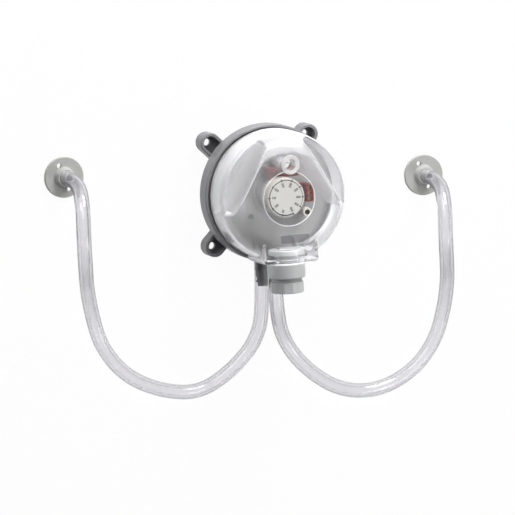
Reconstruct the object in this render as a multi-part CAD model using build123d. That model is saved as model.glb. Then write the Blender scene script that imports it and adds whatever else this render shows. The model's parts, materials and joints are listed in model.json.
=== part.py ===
from build123d import *
import math
import os

# Differential pressure switch, lying on its mounting face.
# +Z points out of the front, +Y away from the cable gland. Origin: centre of the mounting plane.
# All sizes in millimetres.

# Reach of a cutter past a face, and of joined bodies into each other
over = 1.0

# Rear shell
ring_radius = 42.5
ring_bottom = 13.0
ring_height = 11.0
ring_round = 1.0
ring_undercut = 1.5
wall = 2.0
drum_setback = 7.0
drum_chamfer = 1.2
floor_thickness = 2.4
seat_rise = 5.8
lip_thickness = 1.6
nest_gap = 0.3
support_ring_setback = 6.5
support_rib_count = 6
support_rib_width = 1.4
support_rib_drop = 2.0

# Mounting ears
ear_spacing = 64.3
ear_radius = 6.4
ear_height = 9.7
ear_rim = 2.0
ear_floor = 2.8
ear_chamfer = 0.6
ear_hole_radius = 2.25

# Front housing
flange_thickness = 3.2
groove_width = 1.5
chamber_wall = 1.9
chamber_step = 1.0
chamber_height = 4.0
deck_thickness = 2.8
rim_height = 1.8
rim_wall = 3.0
bead_setback = 2.6
bead_width = 2.4
bead_depth = 1.2

# Screws that join the two halves
case_screw_count = 4
case_screw_start = 22.5
case_screw_land = 0.75
case_screw_head = 2.0
case_screw_head_height = 1.6
case_screw_head_gap = 0.2
case_screw_shank = 1.05
case_screw_pass_gap = 0.15
case_screw_hold_gap = 0.05
case_screw_cover = 2.5
case_screw_tip_gap = 0.7
slot_width = 0.6
slot_depth = 0.5

# Turret, dial and adjuster
turret_radius = 10.4
turret_wall = 2.4
turret_cap = 2.0
turret_foot_width = 2.2
turret_foot_height = 1.6
turret_rise = 0.2
dial_radius = 12.2
dial_gap = 0.3
dial_height = 10.0
dial_wall = 1.8
dial_hub_wall = 3.0
dial_round = 0.5
flute_count = 24
flute_radius = 0.45
flute_height = 5.5
scale_rim = 0.6
scale_gap = 0.1
scale_thickness = 0.4
scale_chamfer = 0.12
stem_radius = 4.4
stem_step = 0.5
stem_fit = 0.06
stem_overrun = 1.6
clip_thickness = 0.7
clip_width = 1.9
clip_gap = 0.1
clip_mouth = 5.5
key_width = 2.4
key_reach = 0.9
key_gap = 0.3
seat_lift = 2.0
seat_height = 3.8

# Diaphragm, plate and spring
skin_thickness = 0.5
skin_fit = 0.1
roll_margin = 2.0
roll_width = 6.0
roll_rise = 2.5
plate_margin = 1.1
plate_lift = 0.1
plate_thickness = 1.2
plate_rim_width = 1.2
plate_rim_height = 0.7
plate_hub_height = 1.8
plate_hub_gap = 0.95
plate_window_count = 6
plate_window_radius = 2.6
push_pin_radius = 1.3
push_pin_round = 0.3
push_pin_foot_width = 0.9
push_pin_foot_height = 0.8
push_pin_gap = 0.4
pin_contact_gap = 0.05
spring_wire = 0.9
spring_turns = 4
spring_gap = 0.1
spring_side_gap = 1.15

# Snap switch
switch_length = 19.8
switch_width = 6.2
switch_height = 10.0
switch_x = 3.0
switch_gap = 1.1
switch_chamfer = 0.4
switch_seam = 0.3
switch_pad_length = 4.0
switch_pad_height = 4.4
switch_pad_inset = 0.5
switch_eye_radius = 1.15
switch_eye_spacing = 9.5
switch_eye_height = 3.2
plunger_offset = 2.0
plunger_radius = 1.2
plunger_round = 0.25
plunger_reach = 1.0
plunger_depth = 1.4
plunger_room = 1.2
plunger_gap = 0.08
tab_width = 2.8
tab_thickness = 0.5
tab_height = 3.4
tab_chamfer = 0.6
tab_pitch = 7.3
tab_offset = 1.2
tab_hole_radius = 0.55
tab_hole_height = 1.9

# Terminal block, trimming screw and deck screw
block_x = 19.6
block_width = 5.0
block_length = 10.4
block_height = 14.0
block_chamfer = 0.4
block_entry_width = 2.2
block_entry_height = 2.6
block_entry_drop = 7.0
clamp_count = 3
clamp_pitch = 3.3
clamp_radius = 1.25
clamp_gap = 0.15
clamp_well = 3.0
clamp_height = 2.0
trim_x = 17.5
trim_y = -11.6
trim_radius = 2.9
trim_bore = 1.6
trim_height = 14.4
trim_chamfer = 0.4
trim_screw_height = 5.0
trim_screw_gap = 0.1
deck_screw_x = -14.8
deck_screw_y = -13.0
deck_screw_head = 1.7
deck_screw_height = 1.0
deck_screw_gap = 0.1
deck_boss_wall = 1.1
deck_boss_height = 1.6

# Clear cover
seal_width = 2.2
seal_thickness = 0.6
dial_headroom = 4.5
shoulder_height = 15.0
shoulder_width = 12.3
grip_room = 3.86
grip_angle = 30.0
grip_ledge = -6.3
grip_end_setback = 4.1
grip_sill = 2.0
grip_round = 1.2
grip_rim_rise = 5.5
bay_step = 1.0
bay_margin = 4.6
bay_setback = 0.6
bay_back = -12.0
bay_round = 2.4
bay_edge_round = 1.2
collar_gap = 0.5
window_margin = 4.6
window_depth = 0.5
label_width = 19.0
label_height = 5.6
label_x = 2.5
label_y = -25.0
well_x = 1.5
well_bore = 3.5
well_wall = 2.5
well_floor = 2.0
well_gap = 0.6
well_lip = 0.6
well_lip_gap = 0.4
post_radius = 3.0
post_gap = 0.2
post_drop = 6.0
cover_screw_head = 3.1
cover_screw_head_height = 2.6
cover_screw_shank = 1.5
cover_screw_grip = 7.0
cover_screw_gap = 0.1
cover_screw_pass_gap = 0.3

# Cable gland
gland_drop = 10.3
gland_bore = 5.6
gland_length = 9.5
gland_neck_wall = 2.4
gland_neck_gap = 0.2
gland_fit = 0.3
gland_flange_width = 2.9
gland_flange_length = 3.0
gland_thread_wall = 2.1
gland_collar_width = 2.45
gland_collar_chamfer = 0.5
gland_collar_draft = 0.25
gland_thread_chamfer = 0.4
sleeve_wall = 1.6
sleeve_grip = 1.0
sleeve_lead = 0.8
sleeve_length = 6.0
sleeve_gap = 0.1
clamp_ring_length = 1.2
clamp_ring_setback = 0.9
clamp_ring_gap = 0.05
nut_offset = 2.4
nut_cover = 2.2
nut_length = 6.7
nut_wall = 1.0
nut_facets = 12
nut_round = 0.5
nut_crest = 0.08
nut_fit = 0.08
nut_mouth_wall = 0.4
nut_lip = 1.4
saddle_wall = 2.0
saddle_side_gap = 2.0
gusset_length = 9.0
gusset_height = 13.0

# Hoses, pressure ports and duct connectors
hose_outer = 9.0
hose_inner = 6.0
hose_end_gap = 0.3
port_bore = 1.5
port_barb = 0.25
port_length = 15.2
port_root_reach = 1.0
high_port_x = -3.0
high_port_drop = 3.0
high_root_radius = 4.4
low_port_x = 0.8
low_root_radius = 3.4
root_gap = 0.3
root_lift = 0.2
duct_disc_radius = 12.6
duct_disc_thickness = 2.4
duct_edge_chamfer = 0.4
duct_cone_radius = 6.6
duct_cone_shoulder = 0.5
duct_cone_height = 6.0
duct_tip_height = 14.5
duct_barb_length = 5.0
duct_bore = 1.9
duct_hole_radius = 1.5
duct_hole_spread = 16.0
duct_hole_angle = 112.0
left_duct = (-125.7, 18.8)
right_duct = (110.1, -1.1)

# Radii from the outer ring inwards
lip_inner = ring_radius - lip_thickness
flange_radius = lip_inner - nest_gap
step_radius = lip_inner - groove_width
rim_inner = step_radius - rim_wall
drum_radius = ring_radius - drum_setback
chamber_radius = drum_radius - chamber_wall
rear_chamber_radius = chamber_radius - chamber_step
bead_radius = chamber_radius + bead_setback
case_screw_circle = bead_radius + case_screw_shank + case_screw_land
roll_outer = chamber_radius - roll_margin
roll_inner = roll_outer - roll_width
plate_radius = roll_inner - plate_margin
support_ring_radius = plate_radius - support_ring_setback
ear_offset = ear_spacing / 2

# Heights from the mounting face to the deck
ring_top = ring_bottom + ring_height
flange_seat = ring_bottom + seat_rise
flange_top = flange_seat + flange_thickness
deck_bottom = flange_seat + chamber_height
deck_top = deck_bottom + deck_thickness
rim_top = deck_top + rim_height
cover_base = rim_top + seal_thickness
skin_bottom = flange_seat - skin_thickness
bead_floor = flange_seat - bead_depth
plate_bottom = flange_seat + plate_lift
plate_top = plate_bottom + plate_thickness

# Parts on the deck
turret_bore = turret_radius - turret_wall
spring_radius = turret_bore - spring_side_gap - spring_wire / 2
plate_hub_radius = spring_radius - spring_wire / 2 - plate_hub_gap
stem_lower_radius = stem_radius - stem_step
switch_y = turret_radius + switch_gap + switch_width / 2
switch_bottom = deck_top + switch_pad_height
switch_top = switch_bottom + switch_height
plunger_x = switch_x + plunger_offset
turret_top = switch_top + turret_rise
turret_ceiling = turret_top - turret_cap
dial_bottom = turret_top + dial_gap
dial_top = dial_bottom + dial_height
scale_radius = dial_radius - scale_rim
seat_bottom = deck_top + seat_lift
stem_end = seat_bottom - stem_overrun
block_top = deck_top + block_height
trim_top = deck_top + trim_height

# Cover
cover_radius = flange_radius
cover_top = dial_top + dial_headroom + wall
shoulder_start = cover_top - shoulder_height
face_radius = cover_radius - shoulder_width
grip_cos = math.cos(math.radians(grip_angle))
grip_sin = math.sin(math.radians(grip_angle))
block_reach = (block_x + block_width / 2) * grip_cos + block_length / 2 * grip_sin
switch_reach = (switch_x + switch_length / 2) * grip_cos + (switch_y + switch_width / 2) * grip_sin
grip_distance = max(block_reach, switch_reach) + grip_room + wall
grip_floor = cover_base + grip_sill
grip_rim = shoulder_start + grip_rim_rise
grip_end = cover_radius - wall - grip_end_setback
window_radius = dial_radius + window_margin
well_radius = well_bore + well_wall
well_y = switch_y + switch_width / 2 + post_gap + post_radius
well_bottom = switch_top + tab_height + well_gap
well_seat = well_bottom + well_floor
post_top = well_bottom - post_drop
cover_screw_end = post_top - cover_screw_grip

# Cable gland
gland_neck_radius = gland_bore + gland_neck_wall
gland_flange_radius = gland_neck_radius + gland_flange_width
sleeve_radius = gland_bore + sleeve_wall
sleeve_bore = gland_bore - sleeve_grip
gland_thread_radius = sleeve_radius + sleeve_gap + gland_thread_wall
gland_radius = gland_thread_radius + gland_collar_width
nut_radius = gland_thread_radius + nut_wall
nut_mouth_radius = gland_bore + nut_mouth_wall
collar_radius = gland_flange_radius + collar_gap + wall
bay_half_width = collar_radius + bay_margin
bay_front = cover_top - bay_step
bay_wall_y = -(cover_radius - bay_setback)
gland_z = bay_front - gland_drop
saddle_half_width = bay_half_width - wall - saddle_side_gap
saddle_front = bay_wall_y + wall + gland_fit + saddle_wall
flange_front = saddle_front + gland_fit
collar_end = bay_wall_y - gland_fit - gland_length
thread_end = collar_end - nut_offset - nut_cover
nut_top = collar_end - nut_offset
nut_end = nut_top - nut_length
collar_length = flange_front + gland_flange_length + gland_fit + wall - bay_wall_y

# Pressure ports
port_radius = hose_inner / 2
port_root_end = -(ring_radius + port_root_reach)
port_end = port_root_end - port_length
hose_start = port_root_end - hose_end_gap
high_port_z = ring_bottom - high_port_drop
low_port_z = flange_seat + root_lift + low_root_radius
duct_hose_end = duct_cone_height + hose_end_gap

# Hose routes: from the port at the casing to the duct connector
left_route = [
    (high_port_x, hose_start, high_port_z),
    (high_port_x, -69.0, high_port_z),
    (-6.0, -92.0, 6.0),
    (-23.5, -110.5, 4.7),
    (-46.0, -122.5, 4.6),
    (-71.0, -118.5, 4.6),
    (-93.5, -107.0, 4.6),
    (-108.0, -88.0, 4.8),
    (-114.5, -68.0, 9.0),
    (-121.0, -48.5, 20.5),
    (-127.5, -34.5, 38.5),
    (-131.2, -15.6, 48.5),
    (-129.5, 5.3, 45.0),
    (left_duct[0], left_duct[1], 28.0),
    (left_duct[0], left_duct[1], duct_hose_end),
]
right_route = [
    (low_port_x, hose_start, low_port_z),
    (low_port_x, -70.0, low_port_z),
    (9.5, -94.0, 7.5),
    (25.0, -114.5, 4.7),
    (47.5, -130.0, 4.6),
    (73.0, -132.5, 4.6),
    (97.5, -121.5, 4.6),
    (112.0, -104.0, 4.8),
    (117.0, -84.0, 9.0),
    (115.3, -65.0, 21.0),
    (109.0, -52.0, 37.5),
    (104.6, -35.5, 48.5),
    (106.5, -14.6, 45.0),
    (right_duct[0], right_duct[1], 28.0),
    (right_duct[0], right_duct[1], duct_hose_end),
]


def upright(radius, bottom, top, x=0.0, y=0.0):
    """Cylinder along Z between two heights."""
    return Pos(x, y, bottom) * Cylinder(radius, top - bottom, align=(Align.CENTER, Align.CENTER, Align.MIN))


def level(radius, near, far, x=0.0, z=0.0):
    """Cylinder along Y between two places, far below near."""
    body = Cylinder(radius, near - far, align=(Align.CENTER, Align.CENTER, Align.MIN))
    return Pos(x, near, z) * Rot(90, 0, 0) * body


def block(x_size, y_size, z_size, x=0.0, y=0.0, z=0.0):
    """Box centred in X and Y that stands on z."""
    return Pos(x, y, z) * Box(x_size, y_size, z_size, align=(Align.CENTER, Align.CENTER, Align.MIN))


def cross_slot(radius, x, y, bottom, depth):
    """Cutter for a screwdriver slot across a head."""
    return block(2 * (radius + over), slot_width, depth, x, y, bottom)


def turned(points):
    """Solid turned about Z from a closed outline of (radius, height) points."""
    outline = make_face(Plane.XZ * Polyline(*points, close=True))
    return revolve(outline, Axis.Z)


def turned_along_y(points):
    """Solid turned about the gland's axis from (radius, y) points."""
    outline = make_face(Plane.XY * Polyline(*points, close=True))
    return Pos(0, 0, gland_z) * revolve(outline, Axis.Y)


def at_angles(count, radius, start=0.0):
    """Places evenly spaced on a circle."""
    places = []
    for step in range(count):
        angle = math.radians(start + 360.0 * step / count)
        places.append((radius * math.cos(angle), radius * math.sin(angle)))
    return places


def case_screw_places():
    """Places of the screws that join the two halves."""
    return at_angles(case_screw_count, case_screw_circle, case_screw_start)


def top_edges(body):
    """Edges at the top of a body."""
    return body.edges().group_by(Axis.Z)[-1]


def bottom_edges(body):
    """Edges at the bottom of a body."""
    return body.edges().group_by(Axis.Z)[0]


def nozzle(x, z, near):
    """Round hose nozzle pointing down in Y with two shallow barbs."""
    tube = level(port_radius - port_barb, near, port_end, x, z)
    barb_length = (hose_start - port_end) / 4
    for step in (0, 2):
        tip = port_end + barb_length * step
        cone = Cone(port_radius - 2 * port_barb, port_radius, barb_length,
                    align=(Align.CENTER, Align.CENTER, Align.MIN))
        tube += Pos(x, tip, z) * Rot(-90, 0, 0) * cone
    return tube


def radial_block(sign_x, sign_y, inner, half_width, height, bottom):
    """Block that runs from a radius out to one ear's hole."""
    angle = math.degrees(math.atan2(sign_y, sign_x))
    reach = ear_offset * math.sqrt(2)
    return Rot(0, 0, angle) * block(reach - inner, 2 * half_width, height, (reach + inner) / 2, 0, bottom)


def ear_post(sign_x, sign_y):
    """One mounting ear: a rounded tab that stands on the mounting plane."""
    tab = radial_block(sign_x, sign_y, drum_radius - wall, ear_radius, ear_height, 0)
    tab += upright(ear_radius, 0, ear_height, sign_x * ear_offset, sign_y * ear_offset)
    return chamfer(top_edges(tab), ear_chamfer)


def ear_recess(sign_x, sign_y):
    """Recess and screw hole of one ear."""
    pocket_radius = ear_radius - ear_rim
    depth = ear_height - ear_floor + over
    pocket = radial_block(sign_x, sign_y, drum_radius + ear_rim / 2, pocket_radius, depth, ear_floor)
    pocket += upright(pocket_radius, ear_floor, ear_height + over, sign_x * ear_offset, sign_y * ear_offset)
    return pocket + upright(ear_hole_radius, -over, ear_height, sign_x * ear_offset, sign_y * ear_offset)


def diaphragm_support():
    """Ring and ribs inside the rear shell that carry the diaphragm's plate."""
    ring_end = skin_bottom - skin_fit
    support = upright(support_ring_radius, floor_thickness, ring_end)
    support -= upright(support_ring_radius - wall, floor_thickness, ring_end)
    rib_start = support_ring_radius - wall / 2
    rib_length = rear_chamber_radius + over / 2 - rib_start
    rib_height = flange_seat - floor_thickness - support_rib_drop
    rib = block(rib_length, support_rib_width, rib_height, rib_start + rib_length / 2, 0, floor_thickness)
    for step in range(support_rib_count):
        support += Rot(0, 0, 360.0 * step / support_rib_count) * rib
    return support


def low_port_notch():
    """Cutter for the gap in the ring's lip round the low-pressure port."""
    half_width = low_root_radius + root_gap
    near = -(lip_inner - over / 2)
    far = -(ring_radius + 2 * over)
    notch = level(half_width, near, far, low_port_x, low_port_z)
    return notch + block(2 * half_width, near - far, ring_height, low_port_x, (near + far) / 2, low_port_z)


def make_rear_shell():
    """Back of the casing: ears, chamber, outer ring and the high-pressure port."""
    body = turned([
        (0, 0),
        (drum_radius - drum_chamfer, 0),
        (drum_radius, drum_chamfer),
        (drum_radius, ring_bottom - ring_undercut),
        (ring_radius - ring_round, ring_bottom),
        (ring_radius, ring_bottom + ring_round),
        (ring_radius, ring_top - ring_round / 2),
        (ring_radius - ring_round / 2, ring_top),
        (lip_inner, ring_top),
        (lip_inner, flange_seat),
        (0, flange_seat),
    ])
    corners = [(-1, 1), (-1, -1), (1, 1), (1, -1)]
    for sign_x, sign_y in corners:
        body += ear_post(sign_x, sign_y)
    body -= upright(rear_chamber_radius, floor_thickness, flange_seat + over)
    body -= upright(bead_radius, skin_bottom, flange_seat + over)
    bead = upright(bead_radius, bead_floor, flange_seat + over)
    body -= bead - upright(bead_radius - bead_width, bead_floor - over, flange_seat + over)
    for sign_x, sign_y in corners:
        body -= ear_recess(sign_x, sign_y)
    pass_radius = case_screw_shank + case_screw_pass_gap
    sink_radius = case_screw_head + case_screw_head_gap
    sink_bottom = ring_bottom - ring_undercut - over
    for x, y in case_screw_places():
        body -= upright(pass_radius, ring_bottom - over, flange_seat + over, x, y)
        body -= upright(sink_radius, sink_bottom, ring_bottom + case_screw_head_height, x, y)
    body += diaphragm_support()
    port_inner = -(rear_chamber_radius - 2 * over)
    body += level(high_root_radius, port_inner, port_root_end, high_port_x, high_port_z)
    body += nozzle(high_port_x, high_port_z, port_inner)
    body -= level(port_bore, port_inner + 4 * over, port_end - over, high_port_x, high_port_z)
    return body - low_port_notch()


def make_housing():
    """Front housing: flange, deck, turret, posts, saddle and the low-pressure port."""
    body = turned([
        (0, deck_bottom),
        (chamber_radius, deck_bottom),
        (chamber_radius, flange_seat),
        (flange_radius, flange_seat),
        (flange_radius, flange_top),
        (step_radius, flange_top),
        (step_radius, rim_top),
        (rim_inner, rim_top),
        (rim_inner, deck_top),
        (0, deck_top),
    ])
    root = deck_top - over
    body += upright(turret_radius, root, turret_top)
    body += upright(turret_radius + turret_foot_width, root, deck_top + turret_foot_height)
    body -= upright(turret_bore, deck_bottom - over, turret_ceiling)
    body -= upright(stem_radius + stem_fit, deck_bottom, turret_top + over)
    key_depth = turret_bore + key_reach + key_gap
    key_room = key_width + 2 * key_gap
    body -= block(2 * key_depth, key_room, turret_ceiling - deck_bottom + over, 0, 0, deck_bottom - over)
    pad_offset = (switch_length - switch_pad_length) / 2 - switch_pad_inset
    for x in (switch_x - pad_offset, switch_x + pad_offset):
        body += block(switch_pad_length, switch_width, switch_bottom - root, x, switch_y, root)
    body -= upright(push_pin_radius + push_pin_gap, deck_bottom - over, deck_top + over, plunger_x, switch_y)
    post = upright(post_radius, root, post_top, well_x, well_y)
    thread_radius = cover_screw_shank + cover_screw_gap
    body += post - upright(thread_radius, cover_screw_end - over, post_top + over, well_x, well_y)
    boss_top = deck_top + deck_boss_height
    body += upright(deck_screw_head + deck_boss_wall, root, boss_top, deck_screw_x, deck_screw_y)
    body -= upright(deck_screw_head + deck_screw_gap, deck_top, boss_top + over, deck_screw_x, deck_screw_y)
    body += make_saddle()
    hold_radius = case_screw_shank + case_screw_hold_gap
    for x, y in case_screw_places():
        body -= upright(hold_radius, flange_seat - over, rim_top - case_screw_cover, x, y)
    port_inner = -(chamber_radius - over)
    body += level(low_root_radius, port_inner - over, port_root_end, low_port_x, low_port_z)
    body += nozzle(low_port_x, low_port_z, port_root_end + 2 * over)
    return body - level(port_bore, port_inner + 3 * over, port_end - over, low_port_x, low_port_z)


def make_saddle():
    """Upstanding wall with a round-bottomed notch that carries the gland's neck."""
    saddle_back = saddle_front - saddle_wall
    middle = (saddle_front + saddle_back) / 2
    root = deck_top - over
    foot = block(2 * saddle_half_width, saddle_wall, cover_base - root, 0, middle, root)
    foot &= upright(step_radius, root, cover_base)
    plate = foot + block(2 * saddle_half_width, saddle_wall, gland_z - cover_base, 0, middle, cover_base)
    plate -= level(gland_neck_radius + gland_neck_gap, saddle_front + over, saddle_back - over, 0, gland_z)
    profile = make_face(Plane.YZ * Polyline(
        (saddle_front - over, root),
        (saddle_front + gusset_length, root),
        (saddle_front - over, deck_top + gusset_height),
        close=True,
    ))
    for side in (-1, 1):
        gusset_x = side * (saddle_half_width - wall / 2) - wall / 2
        plate += Pos(gusset_x, 0, 0) * extrude(profile, wall)
    return plate


def dome(inset):
    """Domed body of the cover, every face moved inwards by inset."""
    run = cover_radius - face_radius
    arc_radius = (shoulder_height ** 2 + run ** 2) / (2 * run)
    centre = cover_radius - arc_radius
    radius = arc_radius - inset
    side = cover_radius - inset
    top = cover_top - inset
    lift = math.asin((top - shoulder_start) / radius)
    face_edge = centre + radius * math.cos(lift)
    halfway = (centre + radius * math.cos(lift / 2), shoulder_start + radius * math.sin(lift / 2))
    shoulder = ThreePointArc((side, shoulder_start), halfway, (face_edge, top))
    sides = Polyline((face_edge, top), (0, top), (0, cover_base), (side, cover_base), (side, shoulder_start))
    return revolve(make_face(Plane.XZ * (shoulder + sides)), Axis.Z)


def grip_cut(side, inset):
    """Space outside one finger-grip flat of the cover, from its ledge to its far end."""
    angle = 180.0 - grip_angle if side < 0 else grip_angle
    reach = 2 * cover_radius
    height = cover_top - grip_floor + 2 * over
    outside = Pos(grip_distance - inset, 0, grip_floor - inset) * Box(
        reach, 2 * reach, height + inset, align=(Align.MIN, Align.CENTER, Align.MIN))
    length = grip_end - grip_ledge + 2 * inset
    band = block(2 * reach, length, 2 * cover_top, 0, grip_ledge - inset + length / 2, 0)
    return Rot(0, 0, angle) * outside & band


def grip_wall():
    """Outer wall that runs on past both grips and makes a pocket of each."""
    ring = upright(cover_radius, cover_base, grip_rim)
    ring -= upright(cover_radius - wall, cover_base - over, grip_rim + over)
    return ring & dome(0)


def grip_edges(form):
    """Edges of the dome's face and its two grips, without the smooth shoulder line."""
    edges = []
    for edge in form.edges():
        box = edge.bounding_box()
        on_shoulder = abs(box.min.Z - shoulder_start) < 0.001 and box.size.Z < 0.001
        if box.max.Z > grip_floor + over and not on_shoulder:
            edges.append(edge)
    return edges


def bay(inset):
    """Box-shaped bay over the gland with its round collar."""
    front = bay_wall_y + inset
    depth = bay_back - front
    height = bay_front - inset - cover_base
    shape = block(2 * (bay_half_width - inset), depth, height, 0, front + depth / 2, cover_base)
    shape = fillet(shape.edges().filter_by(Axis.Z).group_by(Axis.Y)[0], bay_round - inset)
    if inset == 0:
        shape = fillet(top_edges(shape), bay_edge_round)
    collar = level(collar_radius - inset, bay_wall_y + collar_length - inset, front, 0, gland_z)
    if inset == 0:
        collar = fillet(collar.edges().filter_by(GeomType.CIRCLE), bay_edge_round)
    lower = block(3 * collar_radius, 3 * collar_length, gland_z, 0, front, 0)
    return shape + (collar - lower)


def cover_form(inset):
    """Solid form of the cover, used once for the outside and once for the hollow."""
    form = dome(inset)
    for side in (-1, 1):
        form -= grip_cut(side, inset)
    if inset == 0:
        form = fillet(grip_edges(form), grip_round) + grip_wall()
    return form + bay(inset)


def make_cover():
    """Clear moulded cover with grips, screw well, dial window and gland bay."""
    body = cover_form(0) - cover_form(wall)
    body += upright(well_radius, well_bottom, cover_top - wall / 2, well_x, well_y)
    lip = upright(well_radius, cover_top - wall, cover_top + well_lip, well_x, well_y)
    body += fillet(top_edges(lip), well_lip / 2)
    body -= upright(well_bore, well_seat, cover_top + 2 * over, well_x, well_y)
    pass_radius = cover_screw_shank + cover_screw_pass_gap
    body -= upright(pass_radius, well_bottom - over, well_seat + over, well_x, well_y)
    window_floor = cover_top - window_depth
    window = upright(window_radius, window_floor, cover_top + over)
    lip_room = upright(well_radius + well_lip_gap, window_floor - over, cover_top + 2 * over, well_x, well_y)
    body -= window - lip_room
    body -= block(label_width, label_height, window_depth + over, label_x, label_y, window_floor)
    neck = gland_neck_radius + gland_neck_gap
    body -= level(neck, bay_wall_y + wall + over, bay_wall_y - over, 0, gland_z)
    slot_bottom = cover_base - over
    return body - block(2 * neck, wall + 2 * over, gland_z - slot_bottom, 0, bay_wall_y + wall / 2, slot_bottom)


def make_cover_seal():
    """Flat seal between the housing rim and the cover, open where the saddle stands."""
    middle = step_radius - rim_wall / 2
    ring = upright(middle + seal_width / 2, rim_top, cover_base)
    ring -= upright(middle - seal_width / 2, rim_top - over, cover_base + over)
    opening = 2 * (saddle_half_width + nest_gap)
    return ring - block(opening, middle, seal_thickness + 2 * over, 0, -middle, rim_top - over)


def roll(inner, outer, foot, rise):
    """Half-round bulge of the diaphragm, turned from an arc over a flat foot."""
    arc = ThreePointArc((inner, foot), ((inner + outer) / 2, foot + rise), (outer, foot))
    return revolve(make_face(Plane.XZ * (arc + Line((outer, foot), (inner, foot)))), Axis.Z)


def make_diaphragm():
    """Rolling diaphragm with a clamped bead."""
    edge = bead_radius - skin_fit
    disc = upright(edge, skin_bottom, flange_seat)
    bead = upright(edge, bead_floor + skin_fit, flange_seat)
    disc += bead - upright(edge - bead_width + 2 * skin_fit, bead_floor, flange_seat)
    disc += roll(roll_inner, roll_outer, flange_seat, roll_rise)
    return disc - roll(roll_inner + skin_thickness, roll_outer - skin_thickness, skin_bottom, roll_rise)


def make_plate():
    """Plate on the diaphragm with its spring hub and the push pin."""
    body = upright(plate_radius, plate_bottom, plate_top)
    rim_top_height = plate_top + plate_rim_height
    rim = upright(plate_radius, plate_bottom, rim_top_height)
    body += rim - upright(plate_radius - plate_rim_width, plate_bottom - over, rim_top_height + over)
    body += upright(plate_hub_radius, plate_bottom, plate_top + plate_hub_height)
    window_circle = (plate_radius - plate_rim_width + spring_radius + spring_wire) / 2
    pin_angle = math.degrees(math.atan2(switch_y, plunger_x))
    window_start = pin_angle + 180.0 / plate_window_count
    for x, y in at_angles(plate_window_count, window_circle, window_start):
        body -= upright(plate_window_radius, plate_bottom - over, plate_top + over, x, y)
    pin_top = switch_bottom - plunger_reach - pin_contact_gap
    pin = upright(push_pin_radius, plate_bottom, pin_top, plunger_x, switch_y)
    pin = fillet(top_edges(pin), push_pin_round)
    foot_top = plate_top + push_pin_foot_height
    foot = upright(push_pin_radius + push_pin_foot_width, plate_bottom, foot_top, plunger_x, switch_y)
    return body + pin + foot


def make_spring():
    """Range spring between the plate and the spring seat."""
    low = plate_top + spring_gap + spring_wire / 2
    high = seat_bottom - spring_gap - spring_wire / 2
    pitch = (high - low) / spring_turns
    path = Helix(pitch=pitch, height=high - low, radius=spring_radius)
    section = Plane(origin=path @ 0, z_dir=path % 0) * Circle(spring_wire / 2)
    return Pos(0, 0, low) * sweep(section, path)


def make_spring_seat():
    """Keyed nut on the stem that loads the spring."""
    body = upright(turret_bore - key_gap, seat_bottom, seat_bottom + seat_height)
    body += block(2 * (turret_bore + key_reach), key_width, seat_height, 0, 0, seat_bottom)
    return body - upright(stem_lower_radius + stem_fit, seat_bottom - over, seat_bottom + seat_height + over)


def make_dial_knob():
    """Hollow adjusting knob with its stem."""
    body = upright(dial_radius, dial_bottom, dial_top)
    body = fillet(top_edges(body), dial_round)
    body -= upright(dial_radius - dial_wall, dial_bottom - over, dial_top - dial_wall)
    for x, y in at_angles(flute_count, dial_radius + flute_radius / 2):
        body -= upright(flute_radius, dial_bottom - over, dial_bottom + flute_height, x, y)
    body += upright(stem_radius + dial_hub_wall, turret_top, dial_top - dial_wall / 2)
    body += upright(stem_radius, turret_ceiling, turret_top + over)
    body += upright(stem_lower_radius, stem_end, turret_top)
    return body - upright(scale_radius + scale_gap, dial_top - scale_thickness / 2, dial_top + over)


def make_dial_scale():
    """Round scale plate let into the knob's front."""
    disc = upright(scale_radius, dial_top - scale_thickness / 2, dial_top + scale_thickness / 2)
    return chamfer(top_edges(disc), scale_chamfer)


def make_stem_clip():
    """Snap ring that keeps the stem in the turret."""
    top = turret_ceiling - clip_gap
    bottom = top - clip_thickness
    outer = stem_lower_radius + clip_width
    ring = upright(outer, bottom, top) - upright(stem_lower_radius, bottom - over, top + over)
    mouth = block(outer + over, clip_mouth, clip_thickness + 2 * over, (outer + over) / 2, 0, bottom - over)
    return ring - mouth


def make_switch_body():
    """Snap switch body on its two pads."""
    body = block(switch_length, switch_width, switch_height, switch_x, switch_y, switch_bottom)
    body = chamfer(body.edges().filter_by(Axis.Z), switch_chamfer)
    hole_end = switch_bottom + plunger_depth + plunger_room
    body -= upright(plunger_radius + plunger_gap, switch_bottom - over, hole_end, plunger_x, switch_y)
    for side in (-1, 1):
        eye_x = switch_x + side * switch_eye_spacing / 2
        body -= level(switch_eye_radius, switch_y + switch_width, switch_y - switch_width, eye_x,
                      switch_bottom + switch_eye_height)
    seam_bottom = switch_top - switch_seam
    return body - block(switch_length + over, switch_seam, switch_seam, switch_x, switch_y, seam_bottom)


def make_plunger():
    """Button of the snap switch."""
    bottom = switch_bottom - plunger_reach
    pin = upright(plunger_radius, bottom, switch_bottom + plunger_depth, plunger_x, switch_y)
    return fillet(bottom_edges(pin), plunger_round)


def make_switch_tabs():
    """Three push-on tabs on top of the snap switch."""
    tabs = []
    tab_y = switch_y + tab_offset
    for step in (-1, 0, 1):
        tab_x = switch_x + step * tab_pitch
        tab = block(tab_width, tab_thickness, tab_height, tab_x, tab_y, switch_top)
        tab = chamfer(top_edges(tab).filter_by(Axis.Y), tab_chamfer)
        tab -= level(tab_hole_radius, tab_y + over, tab_y - over, tab_x, switch_top + tab_hole_height)
        tabs.append(tab)
    return Compound(children=tabs)


def clamp_places():
    """Places of the clamping screws along the terminal block."""
    return [(block_x, (step - (clamp_count - 1) / 2) * clamp_pitch) for step in range(clamp_count)]


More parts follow.
